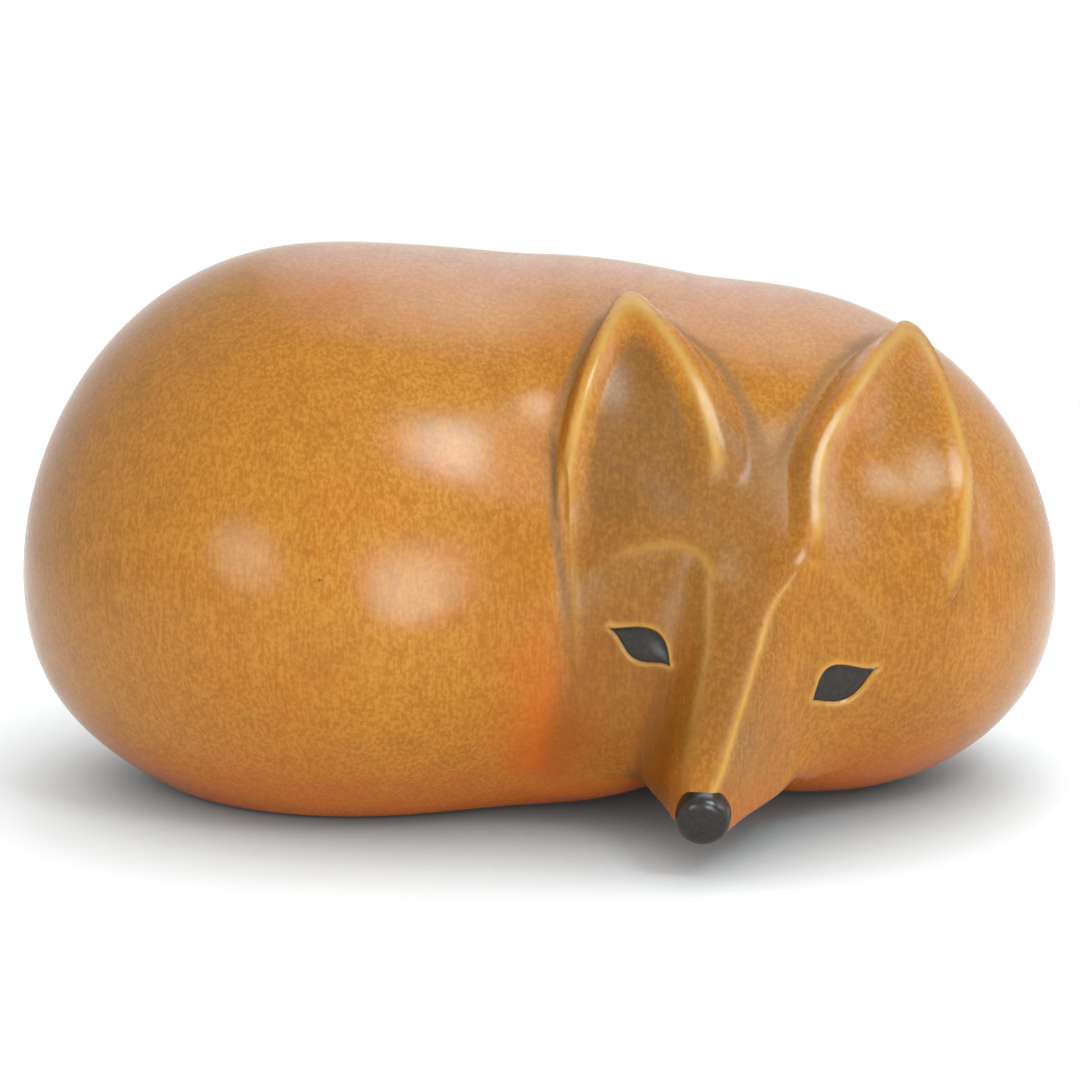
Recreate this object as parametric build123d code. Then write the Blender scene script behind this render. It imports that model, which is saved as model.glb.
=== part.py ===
"""Curled-up fox figurine in glazed stoneware, joined from separately formed clay pieces.

Millimetres. +Z is up, +X runs along the length to the head end, and the face looks towards -Y.
The origin lies on the flat foot that the figure rests on.
"""
import os
from collections import namedtuple
from math import cos, hypot, radians, sin, sqrt

from build123d import *

# Haunch: the round mass at the tail end
haunch_x = -33.7
haunch_y = 0.5
haunch_radius = 43.6
haunch_half_depth = 44.9
haunch_sink = 2.0
haunch_blend = 17.0

# Shoulder: the lower mass under the head
shoulder_x = 42.7
shoulder_y = 2.9
shoulder_half_length = 38.9
shoulder_half_depth = 38.9
shoulder_half_height = 35.6
shoulder_tilt = -30.0
shoulder_sink = 1.0
shoulder_blend = 21.0

# Back: the long mass that carries the top line from the haunch to the neck
back_x = -7.5
back_y = 2.8
back_half_length = 70.0
back_half_depth = 43.5
back_half_height = 43.0
back_tilt = 10.3
back_sink = 5.5

# Hollow body, pressed in two halves that meet at a level seam
wall = 5.0
seam_height = 40.0
drain_diameter = 10.0
drain_x = -26.0

# Face: the brow lies on the body, and the nose stands out ahead of it above the floor
brow_bearing = 34.5
brow_height_angle = 5.1
face_tilt = 14.0
nose_diameter = 8.4
nose_x = 24.2
nose_ahead_of_brow = 17.6
nose_clearance = 6.1
bridge_lift = 4.0
cheek_lift = 1.6
forehead_sink = 2.5
mask_corner_radius = 1.4

# Eyes: almond inlays, each set level with the face
eye_length = 11.0
eye_height = 4.8
eye_depth = 1.6
eye_slant = 32.0
left_eye_aside = -13.6
right_eye_aside = 17.0
eyes_below_brow = 13.6

# Ears: leaf-shaped cups that lie on the body and stand proud of it
ear_lift = 4.0
ear_cup_depth = 2.4
ear_rim = 2.4
ear_side_bulge = 1.6
ear_base_drop = 5.0
ear_tip_radius = 2.0
left_ear_width = 23.0
right_ear_width = 26.0

Mass = namedtuple("Mass", "centre half_sizes tilt")
MaskSection = namedtuple("MaskSection", "along bridge_half lift left right jaw_drop depth")
Ear = namedtuple("Ear", "base_bearing base_height_angle tip_bearing tip_height_angle turn rise width")

# Face sections: place along the snout as a share of its length, half width and lift of the bridge,
# reach of each cheek, drop of the jaw's edge where it stands free of the body, and depth of the back edge
mask_sections = [
    MaskSection(-0.68, 5.0, -forehead_sink, 8.0, 8.0, 5.0, 18.0),
    MaskSection(0.00, 6.6, bridge_lift, 26.0, 29.0, 12.0, 22.0),
    MaskSection(0.34, 3.9, bridge_lift, 23.0, 26.0, 14.0, 26.0),
    MaskSection(0.62, 3.4, bridge_lift, 14.0, 17.0, 18.0, 30.0),
    MaskSection(0.82, 2.9, bridge_lift, 7.0, 8.5, 8.5, 22.0),
    MaskSection(0.96, 2.2, bridge_lift, 3.9, 4.2, 1.2, 6.0),
]

left_ear_place = Ear(15.2, 22.5, 26.0, 63.8, 8.0, 41.0, left_ear_width)
right_ear_place = Ear(52.3, 8.7, 83.7, 33.4, 32.0, 39.0, right_ear_width)

ring_points = 32
ring_height_angles = range(-75, 76, 15)
clear_reach = 3.0 * back_half_length


def tilted_mass(x, y, half_length, half_depth, half_height, tilt, sink):
    """Ellipsoid turned by its tilt in side view, so low that its underside lies a sink below the floor."""
    turn = radians(tilt)
    underside = hypot(half_length * sin(turn), half_height * cos(turn))
    return Mass(Vector(x, y, underside - sink), (half_length, half_depth, half_height), turn)


haunch = tilted_mass(haunch_x, haunch_y, haunch_radius, haunch_half_depth, haunch_radius, 0.0, haunch_sink)
shoulder = tilted_mass(shoulder_x, shoulder_y, shoulder_half_length, shoulder_half_depth,
                       shoulder_half_height, shoulder_tilt, shoulder_sink)
back = tilted_mass(back_x, back_y, back_half_length, back_half_depth,
                   back_half_height, back_tilt, back_sink)
hub = Vector((haunch_x + shoulder_x) / 2, (haunch_y + shoulder_y) / 2, seam_height)


def heading(bearing, height_angle):
    """Unit vector, its bearing counted from straight ahead (-Y) towards +X, its angle from level."""
    level = cos(radians(height_angle))
    return Vector(level * sin(radians(bearing)), -level * cos(radians(bearing)), sin(radians(height_angle)))


def in_mass_axes(vector, mass):
    """The vector along the mass's own axes, each divided by the half size on that axis."""
    half_length, half_depth, half_height = mass.half_sizes
    along = cos(mass.tilt) * vector.X + sin(mass.tilt) * vector.Z
    upward = cos(mass.tilt) * vector.Z - sin(mass.tilt) * vector.X
    return Vector(along / half_length, vector.Y / half_depth, upward / half_height)


def reach(direction, mass):
    """Distance from the hub to the far side of a mass, from the quadratic of a ray and an ellipsoid."""
    start = in_mass_axes(hub - mass.centre, mass)
    step = in_mass_axes(direction, mass)
    half_slope = start.dot(step)
    squared = step.dot(step)
    inside = half_slope**2 - squared * (start.dot(start) - 1.0)
    if inside <= 0.0:
        return 0.0
    return max((sqrt(inside) - half_slope) / squared, 0.0)


def blended(first, second, width):
    """Larger of two reaches, rounded up where they lie within the blend width of each other."""
    overlap = max(width - abs(first - second), 0.0) / width
    return max(first, second) + overlap**2 * width / 4


def body_reach(direction):
    """Distance from the hub to the body's surface."""
    rear = blended(reach(direction, haunch), reach(direction, back), haunch_blend)
    return blended(rear, reach(direction, shoulder), shoulder_blend)


def on_body(direction, growth=0.0):
    """Point of the body's surface in a direction from the hub, moved outwards by the growth."""
    return hub + direction * (body_reach(direction) + growth)


def body_form(growth=0.0):
    """Closed solid of the blended masses, lofted through rings of equal height angle."""
    sections = [Vertex(*on_body(heading(0, -90), growth))]
    for height_angle in ring_height_angles:
        bearings = [360.0 * i / ring_points for i in range(ring_points)]
        points = [on_body(heading(bearing, height_angle), growth) for bearing in bearings]
        sections.append(Wire([Edge.make_spline(points, periodic=True)]))
    sections.append(Vertex(*on_body(heading(0, 90), growth)))
    return Solid.make_loft(sections)


def slab(low, high):
    """Wide block between two heights, for cutting level."""
    block = Box(clear_reach, clear_reach, high - low, align=(Align.CENTER, Align.CENTER, Align.MIN))
    return Pos(hub.X, hub.Y, low) * block


def body_halves(outer):
    """Upper and lower shell of the hollow body, the lower one flat underneath with a drain hole."""
    ceiling = seam_height + clear_reach
    standing = outer & slab(0, ceiling)
    shell = standing - (body_form(-wall) & slab(wall, ceiling))
    drain = Pos(drain_x, hub.Y, 0) * Cylinder(drain_diameter / 2, 2 * wall)
    return shell & slab(seam_height, ceiling), (shell & slab(0, seam_height)) - drain


# Face frame: aside to the right, along from the brow to the nose, out from the face
brow = on_body(heading(brow_bearing, brow_height_angle))
nose_centre = Vector(nose_x, brow.Y - nose_ahead_of_brow, nose_clearance + nose_diameter / 2)
snout = nose_centre - brow
along = snout.normalized()
facing = Vector(0, -cos(radians(face_tilt)), sin(radians(face_tilt)))
out = (facing - along * facing.dot(along)).normalized()
aside = out.cross(along)


def skin_height(start, depth):
    """Height above the start, along the face's outward axis, where that line leaves the body."""
    low = -depth
    high = depth
    for _ in range(30):
        middle = (low + high) / 2
        ray = start + out * middle - hub
        if ray.length < body_reach(ray.normalized()):
            low = middle
        else:
            high = middle
    return low


def mask_section(section):
    """Rounded six-cornered outline of the face across the snout, its cheeks proud of the body."""
    middle = brow + snout * section.along
    plane = Plane(middle, x_dir=aside, z_dir=along)

    def cheek_height(sideways):
        skin = skin_height(middle + aside * sideways, section.depth)
        return max(skin + cheek_lift, -section.jaw_drop)

    corners = [
        (-section.left, -section.depth),
        (-section.left, cheek_height(-section.left)),
        (-section.bridge_half, section.lift),
        (section.bridge_half, section.lift),
        (section.right, cheek_height(section.right)),
        (section.right, -section.depth),
    ]
    outline = make_face(Polyline(*corners, close=True))
    return plane * fillet(outline.vertices(), mask_corner_radius)


def head_form():
    """Wedge of forehead, cheeks and snout, lofted through its sections."""
    return loft([mask_section(section) for section in mask_sections])


def almond_prism(aside_of_bridge, slant):
    """Prism of an eye's outline, two arcs between the corners of the eye, through the face."""
    half = eye_length / 2
    upper = ThreePointArc((-half, 0), (0, eye_height / 2), (half, 0))
    lower = ThreePointArc((half, 0), (0, -eye_height / 2), (-half, 0))
    place = Plane(brow + aside * aside_of_bridge + along * eyes_below_brow, x_dir=aside, z_dir=out)
    outline = place * Rot(0, 0, slant) * make_face(Curve() + upper + lower)
    return extrude(outline, snout.length, dir=out, both=True)


def eye_inlay(head, prism):
    """The skin of the head within the eye's outline, as deep as the inlay."""
    return (prism & head) - Pos(*(out * -eye_depth)) * head


def ear_form(place, outer, head):
    """Leaf-shaped cup on the body: a rim between two arcs and a base arc, round a shallower floor."""
    base = on_body(heading(place.base_bearing, place.base_height_angle))
    tip = on_body(heading(place.tip_bearing, place.tip_height_angle), ear_lift)
    plane = Plane(base, x_dir=(tip - base).cross(heading(place.turn, place.rise)),
                  z_dir=heading(place.turn, place.rise))
    length = (tip - base).dot(plane.y_dir)
    half = place.width / 2
    left_side = ThreePointArc((-half, 0), (-half / 2 - ear_side_bulge, length / 2), (0, length))
    right_side = ThreePointArc((0, length), (half / 2 + ear_side_bulge, length / 2), (half, 0))
    base_side = ThreePointArc((half, 0), (0, -ear_base_drop), (-half, 0))
    leaf = make_face(Curve() + left_side + right_side + base_side)
    leaf = fillet(leaf.vertices().sort_by(Axis.Y)[-1], ear_tip_radius)
    cup = offset(leaf, -ear_rim)
    leaf_prism = extrude(plane * leaf, length, both=True)
    cup_prism = extrude(plane * cup, length, both=True)
    rim = leaf_prism & body_form(ear_lift)
    hollow = cup_prism - body_form(ear_lift - ear_cup_depth)
    return rim - hollow - outer - head


outer = body_form()
upper_shell, lower_shell = body_halves(outer)
head = head_form()
left_eye = eye_inlay(head, almond_prism(left_eye_aside, -eye_slant))
right_eye = eye_inlay(head, almond_prism(right_eye_aside, eye_slant))
nose = Pos(*nose_centre) * Sphere(nose_diameter / 2)

pieces = {
    "body_upper_shell": upper_shell,
    "body_lower_shell": lower_shell,
    "head": head - outer - left_eye - right_eye - nose,
    "left_ear": ear_form(left_ear_place, outer, head),
    "right_ear": ear_form(right_ear_place, outer, head),
    "left_eye": left_eye,
    "right_eye": right_eye,
    "nose": nose,
}

os.makedirs("parts", exist_ok=True)
for name, piece in pieces.items():
    export_step(piece, f"parts/{name}.step")
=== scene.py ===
"""Curled-up fox figurine in glazed stoneware, shaped and glazed around its CAD frame.

Lengths are in metres. +Z is up, +X runs to the head end, and the face looks towards -Y.
All pieces are parts of one clay form: a body of three blended masses, a wedge-shaped face that rises
from it, and two ears that rise from both. Each piece is that form within a patch of its own.
"""
from collections import namedtuple
from math import atan, cos, pi, radians, sin

import bpy
import numpy as np
from bpy.props import FloatProperty, FloatVectorProperty, PointerProperty
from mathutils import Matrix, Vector


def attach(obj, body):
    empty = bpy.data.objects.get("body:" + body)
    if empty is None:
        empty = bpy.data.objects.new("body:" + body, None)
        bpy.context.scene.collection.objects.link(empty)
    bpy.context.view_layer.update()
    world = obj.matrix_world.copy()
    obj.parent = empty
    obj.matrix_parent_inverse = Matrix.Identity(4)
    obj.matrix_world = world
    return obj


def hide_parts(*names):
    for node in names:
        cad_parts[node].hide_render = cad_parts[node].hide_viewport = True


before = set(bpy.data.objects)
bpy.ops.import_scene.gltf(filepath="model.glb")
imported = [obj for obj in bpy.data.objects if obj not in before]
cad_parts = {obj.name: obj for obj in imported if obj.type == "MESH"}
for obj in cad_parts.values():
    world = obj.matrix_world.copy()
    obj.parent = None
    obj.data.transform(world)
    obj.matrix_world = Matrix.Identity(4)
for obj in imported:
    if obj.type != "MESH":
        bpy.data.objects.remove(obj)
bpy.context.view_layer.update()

bl_info = {
    "name": "Curled Fox Figurine",
    "version": (1, 0, 0),
    "blender": (4, 5, 0),
    "location": "View3D > Sidebar > Fox",
    "description": "Shapes a curled-up fox in glazed stoneware around its CAD frame",
    "category": "Add Mesh",
}

MM = 0.001

# Soft touches of the hand on the body, in millimetres: a place near its surface, how far the clay is
# raised there, and how wide
Touch = namedtuple("Touch", "place raised width")
BODY_TOUCHES = {
    "haunch_crown": Touch((-26.0, 12.0, 84.0), -1.0, 14.0),
    "saddle": Touch((-8.0, 12.0, 83.0), 0.8, 12.0),
    "neck_crown": Touch((26.0, 10.0, 80.0), -0.9, 15.0),
    "neck_valley": Touch((2.0, -27.0, 70.0), -0.9, 12.0),
    "haunch_belly": Touch((-22.0, -42.0, 21.0), 2.0, 17.0),
    "haunch_brow": Touch((-20.0, -38.0, 63.0), -0.9, 16.0),
    "haunch_front_upper": Touch((-13.0, -37.0, 62.0), 0.9, 12.0),
    "haunch_front_lower": Touch((-19.0, -44.0, 36.0), 0.9, 12.0),
    "haunch_foot": Touch((-70.0, 0.0, 15.0), 1.6, 17.0),
    "shoulder_foot": Touch((74.0, 3.0, 18.0), 1.1, 15.0),
    "fold_top": Touch((3.0, -38.0, 62.0), -3.2, 8.0),
    "fold_middle": Touch((5.5, -44.0, 49.0), -3.2, 8.0),
    "fold_low": Touch((5.5, -44.0, 34.0), -1.3, 9.0),
    "fold_foot": Touch((15.0, -30.0, 4.0), 3.2, 13.0),
}

# Places across the face, in millimetres aside of the bridge and along the snout from the brow:
# both ridges, the steepness beside them, and how far the left flank falls before the cheek flattens
FaceStation = namedtuple("FaceStation", "along left_ridge right_ridge left_slope left_flank right_slope")
FACE_STATIONS = (
    FaceStation(-26.0, 6.9, 5.6, 0.35, 2.0, 0.45),
    FaceStation(-12.0, 6.6, 6.2, 0.40, 2.0, 0.45),
    FaceStation(-3.0, 6.2, 7.2, 0.50, 2.2, 0.48),
    FaceStation(1.0, 6.2, 6.7, 0.60, 2.6, 0.56),
    FaceStation(6.0, 5.4, 4.6, 0.80, 4.0, 0.70),
    FaceStation(14.0, 4.0, 3.5, 1.50, 6.8, 0.85),
    FaceStation(20.0, 4.0, 2.9, 2.10, 11.0, 1.20),
    FaceStation(26.0, 4.1, 2.2, 3.40, 18.0, 1.60),
    FaceStation(33.0, 4.0, 1.4, 5.50, 32.0, 1.75),
    FaceStation(37.0, 3.2, 0.6, 7.00, 40.0, 1.85),
    FaceStation(42.0, 1.4, 0.2, 7.00, 40.0, 1.85),
)

# Raised lines of the face: a curve from start to end drawn towards its bend, its height at both ends,
# how wide it falls away to the left and to the right of its run, and how pale the glaze is on it
RaisedLine = namedtuple("RaisedLine", "start bend end start_height end_height left_fall right_fall pale")
RAISED_LINES = {
    "left_brow": RaisedLine((-5.4, 4.0), (-8.5, -5.0), (-23.5, 5.2), 0.9, 0.6, 1.5, 2.8, 0.45),
    "right_brow": RaisedLine((7.0, -0.4), (16.0, -2.0), (25.0, 8.0), 0.9, 0.2, 2.8, 1.5, 0.25),
    "left_cheek": RaisedLine((-29.0, -7.0), (-26.5, 5.0), (-21.3, 22.2), 1.7, 0.3, 5.0, 0.5, 0.40),
    "fold_lip": RaisedLine((-31.4, -8.0), (-29.0, 4.0), (-23.9, 20.5), 0.8, 0.2, 0.6, 6.0, 0.15),
    "right_ear_fold": RaisedLine((13.5, -21.3), (19.0, -15.0), (28.7, -9.9), 0.5, 0.5, 2.5, 2.5, 0.0),
    "right_cheek": RaisedLine((30.5, -19.0), (34.5, -6.0), (34.0, 8.0), 0.9, 0.0, 0.9, 4.5, 0.15),
}

# Dark line in the bottom of the fold between haunch and face, a curve like the raised lines: glaze lying
# in the crease, and painted shade of a groove that the mesh does not carry
CreaseLine = namedtuple("CreaseLine", "start bend end")
FOLD_CREASE = CreaseLine((-32.6, -16.0), (-31.8, -3.0), (-22.8, 19.0))

# Eyes: inner and outer corner across the face, and both lids. A lid's height is measured from the line
# between the corners, its peak is the share of that line from the inner corner, and a pointed lid is
# hollow at its ends
Lid = namedtuple("Lid", "height peak pointed")
EyePlace = namedtuple("EyePlace", "inner outer upper lower")
EYES = {
    "left_eye": EyePlace((-9.0, 16.9), (-18.8, 12.8), Lid(3.0, 0.42, 2.5), Lid(1.6, 0.48, 5.0)),
    "right_eye": EyePlace((13.4, 17.1), (22.2, 9.9), Lid(2.9, 0.39, 3.2), Lid(1.85, 0.48, 3.0)),
}


def length(name, description, millimetres):
    """Property of one length, its default given in millimetres."""
    return FloatProperty(name=name, description=description, default=millimetres * MM,
                         unit="LENGTH", precision=4)


def place(name, description, millimetres):
    """Property of a place or of three half sizes, its default given in millimetres."""
    default = tuple(value * MM for value in millimetres)
    return FloatVectorProperty(name=name, description=description, default=default,
                               subtype="XYZ", unit="LENGTH", precision=4)


def angle(name, description, turn):
    """Property of one angle, its default given in degrees."""
    return FloatProperty(name=name, description=description, default=radians(turn), unit="ROTATION")


def angles(name, description, turns):
    """Property of a bearing and a height angle, its default given in degrees."""
    default = tuple(radians(turn) for turn in turns)
    return FloatVectorProperty(name=name, description=description, size=2, default=default,
                               unit="ROTATION")


def share(name, description, default):
    """Property of a plain number."""
    return FloatProperty(name=name, description=description, default=default,
                         subtype="FACTOR", soft_min=0.0)


def colour(name, description, default):
    """Property of a colour in linear red, green and blue."""
    return FloatVectorProperty(name=name, description=description, default=default, subtype="COLOR",
                               min=0.0, max=1.0)


class FoxBodySettings(bpy.types.PropertyGroup):
    """Sizes of the hollow body."""
    haunch_centre: place("Haunch centre", "Middle of the round mass at the tail end", (-33.7, 0.5, 41.6))
    haunch_half: place("Haunch half sizes", "Half sizes of the haunch", (43.6, 44.9, 43.6))
    back_centre: place("Back centre", "Middle of the long mass under the top line", (-7.5, 2.8, 38.62))
    back_half: place("Back half sizes", "Half sizes of the back", (70.0, 43.5, 43.0))
    back_tilt: angle("Back tilt", "Turn of the back in side view", 10.3)
    shoulder_centre: place("Shoulder centre", "Middle of the mass under the head", (42.7, 2.9, 35.45))
    shoulder_half: place("Shoulder half sizes", "Half sizes of the shoulder", (38.9, 38.9, 35.6))
    shoulder_tilt: angle("Shoulder tilt", "Turn of the shoulder in side view", -30.0)
    haunch_blend: length("Haunch blend", "Width of the soft join of haunch and back", 17.0)
    shoulder_blend: length("Shoulder blend", "Width of the soft join of shoulder and back", 21.0)
    seam_height: length("Seam height", "Height at which the two pressed halves meet", 40.0)
    wall: length("Wall", "Thickness of the clay wall", 5.0)
    foot_round: length("Foot rounding", "Width over which the sides turn into the flat foot", 1.6)
    drain_centre: place("Drain centre", "Middle of the drain hole in the foot", (-26.0, 1.7, 0.0))
    drain_radius: length("Drain radius", "Radius of the drain hole", 5.0)


class FoxFaceSettings(bpy.types.PropertyGroup):
    """Sizes of the face, its eyes and its nose."""
    brow: angles("Brow", "Bearing and height angle of the brow, seen from the body's hub", (34.5, 5.1))
    face_tilt: angle("Face tilt", "How far the face looks up", 14.0)
    nose_centre: place("Nose centre", "Middle of the nose", (24.2, -55.04, 10.3))
    nose_facing: angles("Nose facing", "Bearing and height angle that the nose faces", (-7.0, -21.6))
    nose_half: place("Nose half sizes", "Half sizes across, ahead and upwards", (4.15, 2.8, 4.4))
    nose_squareness: share("Nose squareness", "Power of the rounding, blunter below 1", 0.62)
    bridge_lift: length("Bridge lift", "Height of the flat bridge over the brow", 4.0)
    bridge_roll: share("Bridge roll", "Rise of the bridge from left to right, per unit of width", 0.15)
    forehead_fall: length("Forehead fall", "Run over which it falls by a millimetre", 8.2)
    ridge_round: length("Ridge rounding", "Rounding of the two ridges along the snout", 1.0)
    chin_height: length("Chin height", "Height of the chin under the nose", 5.8)
    right_chin_drop: length("Right chin drop", "How much lower the chin lies under the right cheek", 3.0)
    chin_rise: share("Chin rise", "Rise of the chin towards the neck, per unit of run", 0.18)
    snout_end: length("Snout end", "How far the snout's slanted end lies past the nose's middle", 0.9)
    jaw_round: length("Jaw rounding", "Rounding of the edge between snout and chin", 1.6)
    wide_jaw_round: length("Wide jaw rounding", "Rounding of that edge at both cheeks", 14.0)
    end_round: length("End rounding", "Rounding of the snout's end", 1.0)
    blend: length("Blend", "Width of the soft join of face and body", 6.0)
    jaw_blend: length("Jaw blend", "Width of that join low down at both cheeks", 15.0)
    left_cheek_slope: share("Left cheek slope", "Fall of the flat left cheek, per unit of width", 0.06)
    cheek_curve: length("Cheek curve", "Run squared over the drop of the curving cheeks", 110.0)
    socket_depth: length("Socket depth", "Depth of the hollow that each eye lies in", 0.9)
    lid_height: length("Lid height", "Height of the raised rim round each eye", 0.28)
    lid_width: length("Lid width", "Width of that rim", 0.9)
    eye_sink: length("Eye sink", "How deep the edge of an eye lies below the face", 0.25)
    eye_dome: length("Eye dome", "How far the middle of an eye stands over its edge", 0.35)


class FoxEarSettings(bpy.types.PropertyGroup):
    """Sizes that both ears share."""
    lift: length("Lift", "Height of the rim over the body", 4.0)
    base_lift: length("Base lift", "Height of the rim near the base of the ear", 1.9)
    cup_depth: length("Cup depth", "Depth of the cup under the rim", 2.7)
    rim: length("Rim", "Width of the rim", 2.2)
    rim_slope: length("Rim slope", "Width of the steep fall inside the rim", 3.2)
    cup_slope: length("Cup slope", "Width over which the cup curves down to its floor", 5.5)
    cup_tilt: share("Cup tilt", "Rise of the cup's floor from left to right, per unit of width", 0.12)
    tip_round: length("Tip rounding", "Rounding of the tip", 4.5)


class FoxLeftEarSettings(bpy.types.PropertyGroup):
    """Place and outline of the left ear, as seen from the front."""
    base: angles("Base", "Bearing and height angle of the base, seen from the body's hub", (15.2, 22.5))
    tip: angles("Tip", "Bearing and height angle of the tip, seen from the body's hub", (26.4, 66.0))
    facing: angles("Facing", "Bearing and height angle that the cup faces", (8.0, 41.0))
    left_half: length("Left half width", "Reach of the base to the left", 11.6)
    left_tuck: length("Left tuck", "How much narrower the left side is below the base", 0.0)
    right_half: length("Right half width", "Reach of the base to the right", 13.2)
    left_fullness: share("Left fullness", "How full the left side is, 1 being straight", 1.45)
    right_fullness: share("Right fullness", "How full the right side is, 1 being straight", 1.8)
    left_side: length("Left side", "Width over which the outer side falls on the left", 2.4)
    right_side: length("Right side", "Width over which the outer side falls on the right", 6.0)
    left_end: length("Left end", "Height over the base at which the left rim runs out", -0.5)
    right_end: length("Right end", "Height over the base at which the right rim runs out", 0.5)


class FoxRightEarSettings(bpy.types.PropertyGroup):
    """Place and outline of the right ear, as seen from the front."""
    base: angles("Base", "Bearing and height angle of the base, seen from the body's hub", (52.3, 8.7))
    tip: angles("Tip", "Bearing and height angle of the tip, seen from the body's hub", (83.7, 33.4))
    facing: angles("Facing", "Bearing and height angle that the cup faces", (32.0, 39.0))
    left_half: length("Left half width", "Reach of the base to the left", 13.4)
    left_tuck: length("Left tuck", "How much narrower the left side is below the base", 3.2)
    right_half: length("Right half width", "Reach of the base to the right", 15.3)
    left_fullness: share("Left fullness", "How full the left side is, 1 being straight", 1.85)
    right_fullness: share("Right fullness", "How full the right side is, 1 being straight", 1.2)
    left_side: length("Left side", "Width over which the outer side falls on the left", 4.0)
    right_side: length("Right side", "Width over which the outer side falls on the right", 1.8)
    left_end: length("Left end", "Height over the base at which the left rim runs out", -7.0)
    right_end: length("Right end", "Height over the base at which the right rim runs out", -3.0)


class FoxGlazeSettings(bpy.types.PropertyGroup):
    """Colours of the glazes and of the bare clay."""
    amber: colour("Amber", "Main colour of the glaze", (0.480, 0.175, 0.010))
    honey: colour("Honey", "Paler flecks of the glaze", (0.600, 0.265, 0.030))
    # The rust also paints the shade of the snout's left flank and beside the fold.
    rust: colour("Rust", "Red-brown blush near the foot and the fold", (0.610, 0.115, 0.003))
    straw: colour("Straw", "Glaze where it runs thin over rims and ridges", (0.630, 0.360, 0.080))
    # The olive also paints shade: on the snout's left flank, beside the fold and deeper in the left ear's
    # cup.
    olive: colour("Olive", "Glaze where it pools in cups and hollows", (0.220, 0.087, 0.008))
    # The slate also paints the shade of the fold's groove, which the mesh does not carry.
    slate: colour("Slate", "Grey-brown glaze in the bottom of creases", (0.110, 0.075, 0.040))
    charcoal: colour("Charcoal", "Black glaze of eyes and nose", (0.021, 0.016, 0.013))
    clay: colour("Clay", "Bare clay of the foot", (0.50, 0.36, 0.24))


class FoxStageSettings(bpy.types.PropertyGroup):
    """Camera, lamps and floor."""
    target: place("Target", "Point at the middle of the picture", (0.0, -9.5, 41.1))
    elevation: angle("Elevation", "Height of the camera over the horizon", 14.0)
    distance: length("Distance", "Distance of the camera from the target", 850.0)
    picture_width: length("Picture width", "Width that the picture shows at the target", 167.4)
    lamp_distance: length("Lamp distance", "Distance of the lamps from the target", 900.0)
    ambient: share("Ambient", "Strength of the light from all round", 0.29)


SETTINGS = {
    "fox_body": FoxBodySettings,
    "fox_face": FoxFaceSettings,
    "fox_ears": FoxEarSettings,
    "fox_left_ear": FoxLeftEarSettings,
    "fox_right_ear": FoxRightEarSettings,
    "fox_glaze": FoxGlazeSettings,
    "fox_stage": FoxStageSettings,
}


# Plain helpers on arrays

def unit(vectors):
    """Vectors divided by their lengths."""
    return vectors / np.linalg.norm(vectors, axis=-1, keepdims=True)


def heading(bearing, height_angle):
    """Unit vectors; bearings count from straight ahead (-Y) towards +X, height angles from level."""
    bearing, height_angle = np.broadcast_arrays(bearing, height_angle)
    level = np.cos(height_angle)
    return np.stack([level * np.sin(bearing), -level * np.cos(bearing), np.sin(height_angle)], axis=-1)


def blended(first, second, width):
    """Larger of two values, rounded up where they lie within the width of each other."""
    overlap = np.maximum(width - np.abs(first - second), 0.0) / width
    return np.maximum(first, second) + overlap**2 * width / 4


def ease(low, high, values):
    """0 at low and 1 at high, held beyond both, with the smooth step 6s^5 - 15s^4 + 10s^3 between."""
    part = np.clip((values - low) / (high - low), 0.0, 1.0)
    return part**3 * (part * (6.0 * part - 15.0) + 10.0)


def hump(distance, width):
    """1 at no distance, falling like a bell near it and like an exponential far from it."""
    return np.exp(1.0 - np.sqrt(1.0 + (distance / width) ** 2))


def bell(distance, width):
    """1 at no distance, falling as exp(-(distance / width)^2)."""
    return np.exp(-((distance / width) ** 2))


def past_either(values, left, right):
    """1 past the end of either span and 0 between their starts."""
    return np.maximum(ease(*left, values), ease(*right, values))


def strongest(*marks):
    """Largest of several marks, each times its own strength."""
    return np.maximum.reduce([strength * values for values, strength in marks])


def in_axes(parts, axes):
    """Vectors with the given parts along the given axes."""
    return sum(part[..., None] * axis for part, axis in zip(parts, axes))


def smooth_through(at, places, values):
    """Cubic curve through a few values, with the slopes of their neighbours, flat beyond both ends."""
    places = np.asarray(places, float)
    values = np.asarray(values, float)
    slopes = np.gradient(values, places)
    left = np.clip(np.searchsorted(places, at) - 1, 0, len(places) - 2)
    width = places[left + 1] - places[left]
    part = np.clip((at - places[left]) / width, 0.0, 1.0)
    rest = 1.0 - part
    from_left = rest**2 * ((1.0 + 2.0 * part) * values[left] + part * width * slopes[left])
    from_right = part**2 * ((1.0 + 2.0 * rest) * values[left + 1] - rest * width * slopes[left + 1])
    return from_left + from_right


def at_stations(along, name):
    """One of the values of the face stations, at places along the snout."""
    places = [station.along * MM for station in FACE_STATIONS]
    return smooth_through(along, places, [getattr(station, name) for station in FACE_STATIONS])


def bent_line(start, bend, end, count=48):
    """Points of the quadratic curve that leaves start towards bend and reaches end."""
    part = np.linspace(0.0, 1.0, count)[:, None]
    start, bend, end = np.asarray(start), np.asarray(bend), np.asarray(end)
    return (1.0 - part) ** 2 * start + 2.0 * part * (1.0 - part) * bend + part**2 * end


def first_crossing(start, directions, field, near, far, halvings=26):
    """Reach along each direction at which the field turns positive, found by halving the span."""
    low = np.full(directions.shape[:-1], near)
    high = np.full(directions.shape[:-1], far)
    for _ in range(halvings):
        middle = (low + high) / 2
        inside = field(start + directions * middle[..., None]) < 0.0
        low = np.where(inside, middle, low)
        high = np.where(inside, high, middle)
    return (low + high) / 2


# The clay form

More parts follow.
